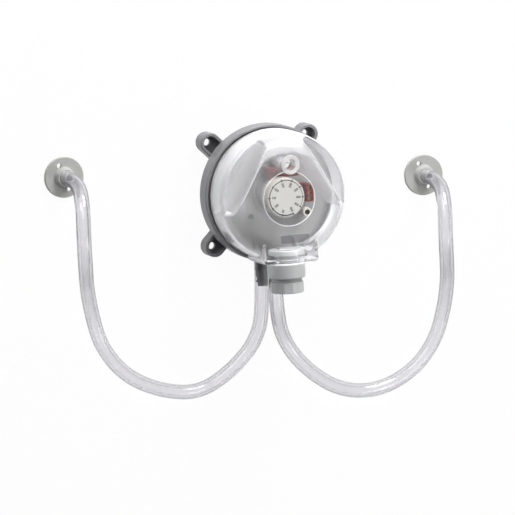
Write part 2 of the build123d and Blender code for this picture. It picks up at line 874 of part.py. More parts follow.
def make_terminal_block():
    """Terminal block with a well and a wire entry for each clamping screw."""
    body = block(block_width, block_length, block_height, block_x, 0, deck_top)
    body = chamfer(body.edges().filter_by(Axis.Z), block_chamfer)
    for x, y in clamp_places():
        body -= upright(clamp_radius + clamp_gap, block_top - clamp_well, block_top + over, x, y)
        body -= block(block_width, block_entry_width, block_entry_height, x - block_width / 2, y,
                      block_top - block_entry_drop)
    return body


def make_clamp_screws():
    """Slotted clamping screws of the terminal block."""
    screws = []
    base = block_top - clamp_well
    top = base + clamp_height
    for x, y in clamp_places():
        head = upright(clamp_radius, base, top, x, y)
        screws.append(head - cross_slot(clamp_radius, x, y, top - slot_depth, slot_depth + over))
    return Compound(children=screws)


def make_trim_sleeve():
    """Light sleeve that guides a tool to the trimming screw."""
    tube = upright(trim_radius, deck_top, trim_top, trim_x, trim_y)
    tube = chamfer(top_edges(tube), trim_chamfer)
    return tube - upright(trim_bore, deck_top - over, trim_top + over, trim_x, trim_y)


def make_trim_screw():
    """Trimming screw at the foot of its sleeve."""
    radius = trim_bore - trim_screw_gap
    top = deck_top + trim_screw_height
    body = upright(radius, deck_top, top, trim_x, trim_y)
    return body - cross_slot(radius, trim_x, trim_y, top - slot_depth, slot_depth + over)


def make_deck_screw():
    """Small screw let into the deck boss."""
    top = deck_top + deck_screw_height
    head = upright(deck_screw_head, deck_top, top, deck_screw_x, deck_screw_y)
    return head - cross_slot(deck_screw_head, deck_screw_x, deck_screw_y, top - slot_depth, slot_depth + over)


def make_case_screws():
    """Screws that pull the rear shell to the front housing, heads at the back."""
    screws = []
    seat = ring_bottom + case_screw_head_height
    tip = rim_top - case_screw_cover - case_screw_tip_gap
    for x, y in case_screw_places():
        head = upright(case_screw_head, ring_bottom, seat, x, y)
        head -= cross_slot(case_screw_head, x, y, ring_bottom - over, slot_depth + over)
        screws.append(head + upright(case_screw_shank, seat, tip, x, y))
    return Compound(children=screws)


def make_cover_screw():
    """Captive screw at the bottom of the cover's well."""
    head_top = well_seat + cover_screw_head_height
    head = upright(cover_screw_head, well_seat, head_top, well_x, well_y)
    head = chamfer(top_edges(head), slot_depth)
    slot_bottom = head_top - 2 * slot_depth
    head -= cross_slot(cover_screw_head, well_x, well_y, slot_bottom, 2 * slot_depth + over)
    shank = upright(cover_screw_shank, cover_screw_end, well_seat, well_x, well_y)
    return head + chamfer(bottom_edges(shank), slot_depth)


def make_gland_body():
    """Gland body: inner flange, neck for the two walls, collar and threaded end."""
    outer_face = bay_wall_y - gland_fit
    flange_end = flange_front + gland_flange_length
    cavity_radius = sleeve_radius + sleeve_gap
    cavity_end = thread_end + sleeve_length
    collar_tip = gland_radius - gland_collar_draft
    return turned_along_y([
        (gland_bore, flange_end),
        (gland_flange_radius, flange_end),
        (gland_flange_radius, flange_front),
        (gland_neck_radius, flange_front),
        (gland_neck_radius, outer_face),
        (gland_radius - gland_collar_chamfer, outer_face),
        (gland_radius, outer_face - gland_collar_chamfer),
        (collar_tip, collar_end + gland_collar_chamfer),
        (collar_tip - gland_collar_chamfer, collar_end),
        (gland_thread_radius, collar_end),
        (gland_thread_radius, thread_end + gland_thread_chamfer),
        (gland_thread_radius - gland_thread_chamfer, thread_end),
        (cavity_radius, thread_end),
        (cavity_radius, cavity_end),
        (gland_bore, cavity_end),
    ])


def make_gland_seal():
    """Rubber sleeve in the mouth of the gland."""
    inner_end = thread_end + sleeve_length - sleeve_gap
    return turned_along_y([
        (sleeve_bore, inner_end),
        (sleeve_radius, inner_end),
        (sleeve_radius, thread_end),
        (sleeve_bore + sleeve_lead, thread_end),
        (sleeve_bore, thread_end + sleeve_lead),
    ])


def make_clamp_ring():
    """Thrust ring between the nut and the rubber sleeve."""
    far = nut_end + nut_lip + clamp_ring_gap
    near = far + clamp_ring_length
    ring = level(gland_thread_radius - clamp_ring_setback, near, far, 0, gland_z)
    return ring - level(nut_mouth_radius, near + over, far - over, 0, gland_z)


def make_gland_nut():
    """Faceted nut that closes the gland."""
    facets = extrude(Plane.XZ.offset(-nut_top) * RegularPolygon(nut_radius, nut_facets), nut_length)
    round_limit = level(nut_radius - nut_crest, nut_top, nut_end)
    body = Pos(0, 0, gland_z) * (facets & chamfer(round_limit.edges(), nut_round))
    body -= level(gland_thread_radius + nut_fit, nut_top + over, nut_end + nut_lip, 0, gland_z)
    return body - level(nut_mouth_radius, nut_top, nut_end - over, 0, gland_z)


def make_duct_connector(place):
    """Duct connector: screwed disc with a conical socket and a hose spigot."""
    x, y = place
    spigot = hose_inner / 2
    barb_start = duct_tip_height - duct_barb_length
    body = turned([
        (duct_bore, 0),
        (duct_disc_radius - duct_edge_chamfer, 0),
        (duct_disc_radius, duct_edge_chamfer),
        (duct_disc_radius, duct_disc_thickness - duct_edge_chamfer),
        (duct_disc_radius - duct_edge_chamfer, duct_disc_thickness),
        (duct_cone_radius, duct_disc_thickness),
        (hose_outer / 2 + duct_cone_shoulder, duct_cone_height),
        (spigot - port_barb, duct_cone_height),
        (spigot - port_barb, barb_start),
        (spigot, barb_start),
        (spigot - 2 * port_barb, duct_tip_height),
        (duct_bore, duct_tip_height),
    ])
    for hole_x, hole_y in at_angles(2, duct_hole_spread / 2, duct_hole_angle):
        body -= upright(duct_hole_radius, -over, duct_disc_thickness + over, hole_x, hole_y)
    return Pos(x, y, 0) * body


def route_radii(points):
    """Largest tangent arc at each inner point of a route."""
    radii = []
    for before, here, after in zip(points, points[1:], points[2:]):
        first = Vector(*here) - Vector(*before)
        second = Vector(*after) - Vector(*here)
        half_turn = math.radians(first.get_angle(second)) / 2
        radii.append(0.45 * min(first.length, second.length) / math.tan(half_turn))
    return radii


def make_hose(name, points):
    """Hose swept along straight runs joined by tangent arcs."""
    radii = route_radii(points)
    path = FilletPolyline(*points, radius=radii)
    start = Plane(origin=path @ 0, z_dir=path % 0)
    outer = sweep(start * Circle(hose_outer / 2), path)
    inner = sweep(start * Circle(hose_inner / 2), path)
    hose = outer - inner
    area = math.pi * (hose_outer ** 2 - hose_inner ** 2) / 4
    print(name, "radii", [round(value, 1) for value in radii])
    print(name, "length", round(path.length, 1), "volume", round(hose.volume, 1),
          "section x length", round(area * path.length, 1))
    return hose


def main():
    os.makedirs("parts", exist_ok=True)
    parts = {
        "rear_shell": make_rear_shell(),
        "switch_housing": make_housing(),
        "diaphragm": make_diaphragm(),
        "diaphragm_plate": make_plate(),
        "range_spring": make_spring(),
        "spring_seat": make_spring_seat(),
        "dial_knob": make_dial_knob(),
        "dial_scale": make_dial_scale(),
        "stem_clip": make_stem_clip(),
        "snap_switch": make_switch_body(),
        "switch_button": make_plunger(),
        "switch_tabs": make_switch_tabs(),
        "terminal_block": make_terminal_block(),
        "clamp_screws": make_clamp_screws(),
        "trim_sleeve": make_trim_sleeve(),
        "trim_screw": make_trim_screw(),
        "deck_screw": make_deck_screw(),
        "case_screws": make_case_screws(),
        "cover": make_cover(),
        "cover_seal": make_cover_seal(),
        "cover_screw": make_cover_screw(),
        "gland_body": make_gland_body(),
        "gland_seal": make_gland_seal(),
        "gland_clamp_ring": make_clamp_ring(),
        "gland_nut": make_gland_nut(),
        "hose_left": make_hose("hose_left", left_route),
        "hose_right": make_hose("hose_right", right_route),
        "duct_connector_left": make_duct_connector(left_duct),
        "duct_connector_right": make_duct_connector(right_duct),
    }
    for name, shape in parts.items():
        export_step(shape, f"parts/{name}.step")


main()
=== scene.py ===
"""Looks of a differential pressure switch with clear hoses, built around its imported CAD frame."""

import json
import math

import bpy
from bpy.props import FloatProperty, FloatVectorProperty, IntProperty, PointerProperty
from mathutils import Matrix, Vector


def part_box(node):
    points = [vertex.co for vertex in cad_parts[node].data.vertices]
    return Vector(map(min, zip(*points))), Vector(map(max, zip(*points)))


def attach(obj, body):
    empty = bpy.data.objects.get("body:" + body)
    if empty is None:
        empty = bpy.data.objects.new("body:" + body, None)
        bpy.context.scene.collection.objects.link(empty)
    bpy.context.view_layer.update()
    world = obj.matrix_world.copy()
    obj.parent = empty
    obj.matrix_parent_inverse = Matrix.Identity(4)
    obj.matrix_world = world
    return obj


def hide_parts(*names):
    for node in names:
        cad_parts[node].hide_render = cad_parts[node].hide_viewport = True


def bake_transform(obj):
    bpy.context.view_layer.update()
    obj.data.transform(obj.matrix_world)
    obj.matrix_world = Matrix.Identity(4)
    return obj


bl_info = {
    "name": "Differential pressure switch",
    "version": (1, 0, 0),
    "blender": (4, 5, 0),
    "location": "View3D > Sidebar > Pressure Switch",
    "description": "Casing, clear cover, dial, gland and hoses of a pressure switch, and a studio",
    "category": "Object",
}

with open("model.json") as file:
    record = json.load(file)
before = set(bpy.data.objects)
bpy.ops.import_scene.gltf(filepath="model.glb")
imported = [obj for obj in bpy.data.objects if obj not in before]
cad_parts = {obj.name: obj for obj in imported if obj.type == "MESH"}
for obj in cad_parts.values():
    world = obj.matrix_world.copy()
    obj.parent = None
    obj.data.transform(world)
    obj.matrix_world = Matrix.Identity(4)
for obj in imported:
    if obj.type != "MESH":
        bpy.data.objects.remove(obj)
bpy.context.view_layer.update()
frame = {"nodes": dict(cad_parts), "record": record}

MM = 0.001
# Vertices closer than this are merged, in new pieces and in copies of CAD nodes
WELD = MM * 0.001
CAD_WELD = MM * 0.002
# Faces of a CAD node that lie within this angle become one
FLAT_ANGLE = math.radians(0.5)
# Material slots of the cover after its first one
SIDE, WELL, LIP_HIGHLIGHT, LABEL_SHADE = 1, 2, 3, 4
RECORD = frame["record"]
BODY_OF = {node: body for body, nodes in RECORD["behaviour"]["bodies"].items() for node in nodes}

# Hose routes, from the port at the casing to the duct connector, in metres
LEFT_ROUTE = [
    (-0.003, -0.0438, 0.010), (-0.003, -0.069, 0.010), (-0.006, -0.092, 0.006),
    (-0.0235, -0.1105, 0.0047), (-0.046, -0.1225, 0.0046), (-0.071, -0.1185, 0.0046),
    (-0.0935, -0.107, 0.0046), (-0.108, -0.088, 0.0048), (-0.1145, -0.068, 0.009),
    (-0.121, -0.0485, 0.0205), (-0.1275, -0.0345, 0.0385), (-0.1312, -0.0156, 0.0485),
    (-0.1295, 0.0053, 0.045), (-0.1257, 0.0188, 0.028), (-0.1257, 0.0188, 0.0063),
]
RIGHT_ROUTE = [
    (0.0008, -0.0438, 0.0224), (0.0008, -0.070, 0.0224), (0.0095, -0.094, 0.0075),
    (0.025, -0.1145, 0.0047), (0.0475, -0.130, 0.0046), (0.073, -0.1325, 0.0046),
    (0.0975, -0.1215, 0.0046), (0.112, -0.104, 0.0048), (0.117, -0.084, 0.009),
    (0.1153, -0.065, 0.021), (0.109, -0.052, 0.0375), (0.1046, -0.0355, 0.0485),
    (0.1065, -0.0146, 0.045), (0.1101, -0.0011, 0.028), (0.1101, -0.0011, 0.0063),
]

# Lamps: name, place, width and power, each one turned to the origin
LAMPS = (
    ("key_lamp", (0.30, 1.05, 0.52), 0.60, 17.5),
    ("side_lamp", (-0.45, 0.70, 0.72), 0.60, 3.0),
    ("front_lamp", (0.70, -0.45, 0.70), 0.50, 3.2),
)

# Plain finishes: what each one sets of the moulded plastic's values
FINISHES = {
    "Zinc Plate": {"colour": (0.42, 0.42, 0.43), "roughness": 0.32, "clouding": 0.12,
                   "marks": 0.2, "metallic": 1.0},
    "Plated Brass": {"colour": (0.72, 0.50, 0.20), "roughness": 0.25, "clouding": 0.12,
                     "marks": 0.15, "metallic": 1.0},
    "Dark Steel": {"colour": (0.10, 0.10, 0.10), "roughness": 0.4, "metallic": 1.0},
    # Near-black: for the buttons, and also painted shade in the trimming sleeve's bore
    "Dark Button And Bore Shade": {"colour": (0.02, 0.02, 0.02), "roughness": 0.4},
    "Cover Screw Plastic": {"colour": (0.5, 0.5, 0.5), "roughness": 0.3},
    "Seal Rubber": {"colour": (0.06, 0.06, 0.065), "roughness": 0.6, "bump": 0.4},
    "Gland Rubber": {"colour": (0.02, 0.02, 0.02), "roughness": 0.6, "bump": 0.5},
    "Silicone": {"colour": (0.10, 0.10, 0.11), "roughness": 0.55, "bump": 0.3},
    "Inner Plastic": {"colour": (0.55, 0.55, 0.53), "roughness": 0.4},
    "Spring Steel": {"colour": (0.55, 0.55, 0.56), "roughness": 0.25, "metallic": 1.0},
}


# ---- settings

class StageSettings(bpy.types.PropertyGroup):
    """Camera, floor and light from all round."""
    view_right: FloatVectorProperty(
        name="View Right", description="Direction that points right in the picture",
        default=(0.9346, -0.0469, 0.3526), subtype="DIRECTION")
    view_up: FloatVectorProperty(
        name="View Up", description="Direction that points up in the picture",
        default=(0.0926, 0.9892, -0.1139), subtype="DIRECTION")
    aim: FloatVectorProperty(
        name="Aim", description="Point at the middle of the picture",
        default=(-0.0034, -0.0419, 0.0050), subtype="TRANSLATION", unit="LENGTH")
    distance: FloatProperty(
        name="Distance", description="From the camera to the aim point", default=6.0, unit="LENGTH")
    view_width: FloatProperty(
        name="View Width", description="Width of the picture at the aim point",
        default=0.31749, unit="LENGTH")
    floor_white: FloatProperty(
        name="Floor White", description="Share of plain white in the floor as the camera sees it",
        default=0.96, min=0, max=1, subtype="FACTOR")
    floor_size: FloatProperty(
        name="Floor Size", description="Side of the floor", default=6.0, unit="LENGTH")
    floor_drop: FloatProperty(
        name="Floor Drop", description="From the mounting plane down to the floor", default=0.0002,
        unit="LENGTH", precision=4)
    floor_colour: FloatVectorProperty(
        name="Floor", description="Colour of the floor as its light falls on the object",
        default=(0.9, 0.9, 0.9), subtype="COLOR", min=0, max=1)
    world_colour: FloatVectorProperty(
        name="World", description="Colour of the light from all round", default=(0.12, 0.12, 0.125),
        subtype="COLOR", min=0, max=1)


class HoseSettings(bpy.types.PropertyGroup):
    """Clear hoses."""
    outer: FloatProperty(
        name="Outer Diameter", description="Outside of the hose", default=0.009, unit="LENGTH")
    inner: FloatProperty(
        name="Inner Diameter", description="Bore of the hose, which grips the nozzles' necks",
        default=0.0054, unit="LENGTH")
    sides: IntProperty(
        name="Sides", description="Faces round the hose", default=48, min=8, max=64)
    tint: FloatVectorProperty(
        name="Tint", description="Colour of the clear hose", default=(0.955, 0.95, 0.97),
        subtype="COLOR", min=0, max=1)
    haze: FloatProperty(
        name="Haze", description="Share of milky scatter in the hose", default=0.05, min=0, max=1,
        subtype="FACTOR")
    # Painted shade: the rim haze mixes in dark grey milk, so the hose's edges are darker where it
    # turns from the view
    rim_haze: FloatProperty(
        name="Rim Haze", description="More scatter where the hose turns away from the view",
        default=0.70, min=0, max=1, subtype="FACTOR")
    roughness: FloatProperty(
        name="Roughness", description="Blur of the hose's walls", default=0.07, min=0, max=1,
        subtype="FACTOR")
    milk_and_painted_light_colour: FloatVectorProperty(
        name="Rim Painted Shade", description="Colour of the hose's edges and haze",
        default=(0.26, 0.26, 0.29), subtype="COLOR", min=0, max=1)


class CasingSettings(bpy.types.PropertyGroup):
    """Moulded casing, gland, connectors and small parts."""
    casing_colour: FloatVectorProperty(
        name="Casing", description="Rear shell and ring", default=(0.25, 0.25, 0.26),
        subtype="COLOR", min=0, max=1)
    housing_colour: FloatVectorProperty(
        name="Housing", description="Front housing and deck", default=(0.25, 0.25, 0.245),
        subtype="COLOR", min=0, max=1)
    gland_colour: FloatVectorProperty(
        name="Gland", description="Gland body and nut", default=(0.54, 0.55, 0.55),
        subtype="COLOR", min=0, max=1)
    connector_colour: FloatVectorProperty(
        name="Connector", description="Duct connectors", default=(0.46, 0.46, 0.445),
        subtype="COLOR", min=0, max=1)
    switch_colour: FloatVectorProperty(
        name="Switch", description="Snap switch and terminal block", default=(0.11, 0.002, 0.003),
        subtype="COLOR", min=0, max=1)
    edge_radius: FloatProperty(
        name="Edge Radius", description="Rounding on moulded edges", default=0.0003, unit="LENGTH")
    nut_radius: FloatProperty(
        name="Nut Edge Radius", description="Rounding on the gland nut's edges", default=0.0009,
        unit="LENGTH")
    small_radius: FloatProperty(
        name="Small Edge Radius", description="Rounding on the edges of small pieces",
        default=0.0002, unit="LENGTH")
    screw_radius: FloatProperty(
        name="Screw Edge Radius", description="Rounding on the cover screw's edges",
        default=0.00015, unit="LENGTH", precision=5)
    plate_radius: FloatProperty(
        name="Plate Edge Radius", description="Rounding on the edges of thin plates",
        default=0.00005, unit="LENGTH", precision=5)


class DialSettings(bpy.types.PropertyGroup):
    """Adjusting dial with its printed scale."""
    knob_colour: FloatVectorProperty(
        name="Knob", description="Cream knob", default=(0.54, 0.53, 0.475),
        subtype="COLOR", min=0, max=1)
    scale_colour: FloatVectorProperty(
        name="Scale", description="Scale plate", default=(0.51, 0.505, 0.47),
        subtype="COLOR", min=0, max=1)
    mark_count: IntProperty(
        name="Marks", description="Marks on the scale", default=10, min=2)
    first_angle: FloatProperty(
        name="First Mark", description="Angle of the first mark from +X",
        default=math.radians(254.2), subtype="ANGLE")
    last_angle: FloatProperty(
        name="Last Mark", description="Angle of the last mark from +X",
        default=math.radians(-67.2), subtype="ANGLE")
    mark_spread: FloatProperty(
        name="Mark Spread", description="How much wider the first steps are than the last ones",
        default=0.11, min=0, max=0.9, subtype="FACTOR")
    print_colour: FloatVectorProperty(
        name="Print", description="Colour of the scale's print", default=(0.012, 0.012, 0.014),
        subtype="COLOR", min=0, max=1)
    line_radius: FloatProperty(
        name="Line Radius", description="Radius of the scale's round line", default=0.0108,
        unit="LENGTH")
    line_width: FloatProperty(
        name="Line Width", description="Line width at the first mark", default=0.00075,
        unit="LENGTH")
    thin_line_width: FloatProperty(
        name="Thin Line Width", description="Line width at the last mark", default=0.0003,
        unit="LENGTH")
    mark_length: FloatProperty(
        name="Mark Length", description="Length of a mark", default=0.0017, unit="LENGTH")
    mark_width: FloatProperty(
        name="Mark Width", description="Width of a mark", default=0.0006, unit="LENGTH")
    mark_shift: FloatProperty(
        name="Mark Shift", description="Shift of a mark outward, as a share of its length",
        default=0.1, min=-0.5, max=0.5, subtype="FACTOR")
    number_step: IntProperty(
        name="Number Step", description="Step from one number to the next", default=50, min=1)
    number_size: FloatProperty(
        name="Number Size", description="Height of the numbers' type", default=0.0020,
        unit="LENGTH")
    number_gap: FloatProperty(
        name="Number Gap", description="From the round line to the numbers", default=0.0013,
        unit="LENGTH")
    number_weight: FloatProperty(
        name="Number Weight", description="Thickening of the numbers, as a share of their height",
        default=0.035, min=0, max=0.2, subtype="FACTOR")
    print_height: FloatProperty(
        name="Print Height", description="Thickness of the print", default=0.00002, unit="LENGTH",
        precision=5)


class CoverSettings(bpy.types.PropertyGroup):
    """Clear cover."""
    tint: FloatVectorProperty(
        name="Tint", description="Colour of the clear moulding", default=(0.97, 0.97, 0.98),
        subtype="COLOR", min=0, max=1)
    roughness: FloatProperty(
        name="Roughness", description="Blur of the clear moulding", default=0.03, min=0, max=1,
        subtype="FACTOR")
    ior: FloatProperty(
        name="IOR", description="Index of refraction of the moulding", default=1.49, min=1, max=2)
    haze: FloatProperty(
        name="Haze", description="Share of milky scatter in the clear moulding", default=0.02,
        min=0, max=1, subtype="FACTOR")
    rim_haze: FloatProperty(
        name="Rim Haze", description="More scatter where the moulding turns away from the view",
        default=0.60, min=0, max=1, subtype="FACTOR")
    # Painted highlight: the line round the dial window is a milky white ring
    line_width: FloatProperty(
        name="Window Highlight Line", description="Width of the line round the dial window", default=0.00026,
        unit="LENGTH")
    window_radius: FloatProperty(
        name="Window Radius", description="Radius of the dial window", default=0.0168,
        unit="LENGTH")
    window_height: FloatProperty(
        name="Window Height", description="Height of the dial window's floor", default=0.0565,
        unit="LENGTH")
    veil_haze: FloatProperty(
        name="Veil Haze", description="More scatter on the front face round the dial window",
        default=0.055, min=0, max=1, subtype="FACTOR")
    veil_roughness: FloatProperty(
        name="Veil Roughness", description="More blur on the front face round the dial window",
        default=0.12, min=0, max=1, subtype="FACTOR")
    veil_depth: FloatProperty(
        name="Veil Depth", description="From the window's floor down to where the veil ends",
        default=0.0025, unit="LENGTH")
    side_haze: FloatProperty(
        name="Side Haze", description="Share of milky scatter outside the flat front face",
        default=0.26, min=0, max=1, subtype="FACTOR")
    side_roughness: FloatProperty(
        name="Side Roughness", description="Blur of the moulding outside the flat front face",
        default=0.16, min=0, max=1, subtype="FACTOR")
    face_radius: FloatProperty(
        name="Face Radius", description="Radius of the flat front face", default=0.0283,
        unit="LENGTH")
    # Painted light: from painted_light_low to painted_light_high along Y the sides grow milkier, so
    # they are lighter towards the top.
    painted_light_low: FloatProperty(
        name="Painted Light Low", description="Height along Y under which the sides are clearest",
        default=-0.022, unit="LENGTH")
    painted_light_high: FloatProperty(
        name="Painted Light High", description="Height along Y over which the sides are milkiest",
        default=0.010, unit="LENGTH")
    bay_size: FloatVectorProperty(
        name="Gland Bay", description="Half width of the bay, and where along Y it begins",
        default=(0.020, -0.0315), size=2, unit="LENGTH")
    well_centre: FloatVectorProperty(
        name="Well Centre", description="Axis of the screw well", default=(0.0015, 0.0209), size=2,
        subtype="TRANSLATION", unit="LENGTH")
    well_radius: FloatProperty(
        name="Well Radius", description="Outside of the screw well", default=0.006, unit="LENGTH")
    # Painted highlight: the lip's faces above this height are milky white
    lip_highlight_height: FloatProperty(
        name="Lip Highlight Height", description="Height over which the lip round the screw well is frosted",
        default=0.05705, unit="LENGTH", precision=5)
    label_field: FloatVectorProperty(
        name="Label Field", description="Middle of the recess for a label",
        default=(0.0025, -0.025, 0.0565), subtype="TRANSLATION", unit="LENGTH")
    label_size: FloatVectorProperty(
        name="Label Size", description="Size of the recess for a label", default=(0.019, 0.0056),
        size=2, unit="LENGTH")
    # Painted shade: the grey of the label recess's floor stands for the shade in the recess
    label_shade: FloatVectorProperty(
        name="Label Shade", description="Colour of the label recess's floor",
        default=(0.72, 0.72, 0.74), subtype="COLOR", min=0, max=1)
    edge_radius: FloatProperty(
        name="Edge Radius", description="Rounding on the edges of the clear moulding",
        default=0.00025, unit="LENGTH")


class InsideSettings(bpy.types.PropertyGroup):
    """Range spring."""
    spring_share: FloatProperty(
        name="Spring Share", description="Share of the range spring that gives with the plate",
        default=0.35, min=0.1, max=0.9, subtype="FACTOR")


# ---- mesh tools

def select_only(*objects):
    """Selects these objects and nothing else, the first one active."""
    bpy.ops.object.select_all(action="DESELECT")
    for obj in objects:
        obj.select_set(True)
    bpy.context.view_layer.objects.active = objects[0]


def new_object(name, data):
    """A new object in the scene's own collection."""
    obj = bpy.data.objects.new(name, data)
    bpy.context.scene.collection.objects.link(obj)
    return obj


def edit(obj):
    """Opens one object in edit mode with everything selected."""
    select_only(obj)
    bpy.ops.object.mode_set(mode="EDIT")
    bpy.ops.mesh.select_all(action="SELECT")


def leave_edit():
    bpy.ops.object.mode_set(mode="OBJECT")


def weld():
    """Merges vertices that meet and turns all normals outward, in edit mode."""
    bpy.ops.mesh.select_all(action="SELECT")
    bpy.ops.mesh.remove_doubles(threshold=WELD)
    bpy.ops.mesh.normals_make_consistent(inside=False)


def lone_vertex(name, place):
    """A new piece of one vertex, left open in edit mode."""
    bpy.ops.object.select_all(action="DESELECT")
    bpy.ops.mesh.primitive_plane_add(size=MM, location=place)
    piece = bpy.context.active_object
    piece.name = name
    edit(piece)
    bpy.ops.mesh.merge(type="CENTER")
    return piece


def settle(obj, smooth_angle=35.0):
    """Moves the object's place into its mesh and shades it by angle."""
    select_only(obj)
    bpy.ops.object.transform_apply(location=True, rotation=True, scale=True)
    bpy.ops.object.shade_smooth_by_angle(angle=math.radians(smooth_angle))


def round_edges(obj, radius, segments=2, angle=30.0):
    """Rounds the sharp edges of a piece with a bevel that is applied."""
    select_only(obj)
    bevel = obj.modifiers.new("Edges", "BEVEL")
    bevel.width = radius
    bevel.segments = segments
    bevel.limit_method = "ANGLE"
    bevel.angle_limit = math.radians(angle)
    bpy.ops.object.modifier_apply(modifier=bevel.name)


def turned_piece(name, outline, axis, centre, steps):
    """Closed solid of revolution: one vertex is drawn out along an outline, which is then spun.

    The outline is (radius, height) points. Height runs along the axis, radius along +X."""
    along = Vector(axis).normalized()
    outward = Vector((1.0, 0.0, 0.0))
    places = [Vector(centre) + outward * radius + along * height for radius, height in outline]
    piece = lone_vertex(name, places[0])
    for here, there in zip(places, places[1:] + places[:1]):
        bpy.ops.mesh.extrude_region_move(TRANSFORM_OT_translate={"value": there - here})
    bpy.ops.mesh.select_all(action="SELECT")
    bpy.ops.mesh.spin(steps=steps, angle=2 * math.pi, center=centre, axis=along)
    weld()
    leave_edit()
    return piece


def dressed(node, radius, name=None, segments=2):
    """A copy of a CAD node with merged faces and rounded edges, for a moulded look."""
    piece = new_object(name or f"{node}_moulding", frame["nodes"][node].data.copy())
    select_only(piece)
    bpy.ops.mesh.customdata_custom_splitnormals_clear()
    edit(piece)
    bpy.ops.mesh.remove_doubles(threshold=CAD_WELD)
    bpy.ops.mesh.dissolve_limited(angle_limit=FLAT_ANGLE)
    leave_edit()
    if radius > 0:
        round_edges(piece, radius, segments)
    settle(piece, smooth_angle=40.0)
    weighted = piece.modifiers.new("Flat Faces", "WEIGHTED_NORMAL")
    weighted.keep_sharp = True
    bpy.ops.object.modifier_apply(modifier=weighted.name)
    return piece


def stand_for(piece, *nodes):
    """The piece rides on the first node's body and stands for all the nodes, which it hides."""
    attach(piece, BODY_OF[nodes[0]])
    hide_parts(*nodes)


def beside(piece, node):
    """The piece rides with a node that stays shown."""
    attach(piece, BODY_OF[node])


def cover_with(piece, material):
    """Gives a piece one material."""
    piece.data.materials.clear()
    piece.data.materials.append(material)


def mould(node, radius, material, name=None, segments=2):
    """A dressed copy of a CAD node in one material, which stands for the node."""
    piece = dressed(node, radius, name, segments)
    cover_with(piece, material)
    stand_for(piece, node)


def paint(node, material):
    """Gives a CAD node that stays shown its material."""
    node_object = frame["nodes"][node]
    if not node_object.material_slots:
        node_object.data.materials.append(material)
    for slot in node_object.material_slots:
        slot.material = material


# ---- materials

def feed(tree, node, inputs):
    """Links a node's inputs, by name or number, to sockets, or sets them to plain values."""
    for key, value in inputs.items():
        if isinstance(value, bpy.types.NodeSocket):
            tree.links.new(value, node.inputs[key])
        else:
            node.inputs[key].default_value = value


def add_node(tree, kind, inputs=None):
    """A new shader node with its inputs fed."""
    node = tree.nodes.new(kind)
    feed(tree, node, inputs or {})
    return node


def math_step(tree, operation, *values):
    """Output of a math node whose inputs are sockets or plain numbers, in order."""
    node = tree.nodes.new("ShaderNodeMath")
    node.operation = operation
    feed(tree, node, dict(enumerate(values)))
    return node.outputs[0]


def smooth_step(tree, value, start, end, lowest=0.0):
    """Goes smoothly from the lowest to 1 as the value goes from the start to the end."""
    step = tree.nodes.new("ShaderNodeMapRange")
    step.interpolation_type = "SMOOTHSTEP"
    feed(tree, step, {"Value": value, "From Min": start, "From Max": end, "To Min": lowest})
    return step.outputs["Result"]


def mix_shaders(tree, share, first, second):
    """Mix of two shader nodes, where the share is the second one's."""
    return add_node(tree, "ShaderNodeMixShader", {
        0: share, 1: first.outputs[0], 2: second.outputs[0]})


def show(tree, output, node):
    """Makes a shader node what the tree shows on its surface."""
    feed(tree, tree.nodes[output], {"Surface": node.outputs[0]})


def object_place(tree):
    """Object coordinates."""
    return add_node(tree, "ShaderNodeTexCoord").outputs["Object"]


def ring_mask(tree, inner, outer, foot, soft=0.3 * MM):
    """A mask that is one between two radii about the Z axis and above a foot, with soft edges."""
    place = object_place(tree)
    flat = tree.nodes.new("ShaderNodeVectorMath")
    flat.operation = "MULTIPLY"
    feed(tree, flat, {0: place, 1: (1.0, 1.0, 0.0)})
    reach = tree.nodes.new("ShaderNodeVectorMath")
    reach.operation = "LENGTH"
    feed(tree, reach, {0: flat.outputs["Vector"]})
    past_inner = smooth_step(tree, reach.outputs["Value"], inner - soft, inner + soft)
    in_outer = smooth_step(tree, reach.outputs["Value"], outer + soft, outer - soft)
    ring = math_step(tree, "MULTIPLY", past_inner, in_outer)
    height = add_node(tree, "ShaderNodeSeparateXYZ", {0: place}).outputs["Z"]
    return math_step(tree, "MULTIPLY", ring, math_step(tree, "GREATER_THAN", height, foot))


def moulded_group():
    """Colour, roughness and height of moulded plastic: clouding, fine grain and handling marks."""
    found = bpy.data.node_groups.get("Moulded Plastic")
    if found:
        return found
    tree = bpy.data.node_groups.new("Moulded Plastic", "ShaderNodeTree")
    for way, names in (("INPUT", ("Colour", "Clouding", "Grain Scale", "Roughness", "Marks")),
                       ("OUTPUT", ("Colour", "Roughness", "Height"))):
        for name in names:
            kind = "NodeSocketColor" if name == "Colour" else "NodeSocketFloat"
            tree.interface.new_socket(name, in_out=way, socket_type=kind)
    start = tree.nodes.new("NodeGroupInput").outputs
    place = object_place(tree)
    # Soft clouding of the colour
    cloud = add_node(tree, "ShaderNodeTexNoise", {"Vector": place, "Scale": 90.0, "Detail": 3.0})
    shift = math_step(tree, "SUBTRACT", cloud.outputs["Fac"], 0.5)
    tone = tree.nodes.new("ShaderNodeMix")
    tone.data_type = "RGBA"
    tone.blend_type = "MULTIPLY"
    feed(tree, tone, {"Factor": 1.0, "A": start["Colour"],
                      "B": math_step(tree, "MULTIPLY_ADD", shift, start["Clouding"], 1.0)})
    # Marks of handling in the roughness
    marks = add_node(tree, "ShaderNodeTexNoise",
                     {"Vector": place, "Scale": 260.0, "Detail": 6.0, "Roughness": 0.7})
    wander = math_step(tree, "SUBTRACT", marks.outputs["Fac"], 0.5)
    rough = math_step(tree, "MULTIPLY_ADD", wander, start["Marks"], start["Roughness"])
    # Fine grain as a height
    grain = add_node(tree, "ShaderNodeTexNoise",
                     {"Vector": place, "Scale": start["Grain Scale"]})
    add_node(tree, "NodeGroupOutput", {
        "Colour": tone.outputs["Result"], "Roughness": rough, "Height": grain.outputs["Fac"]})
    return tree


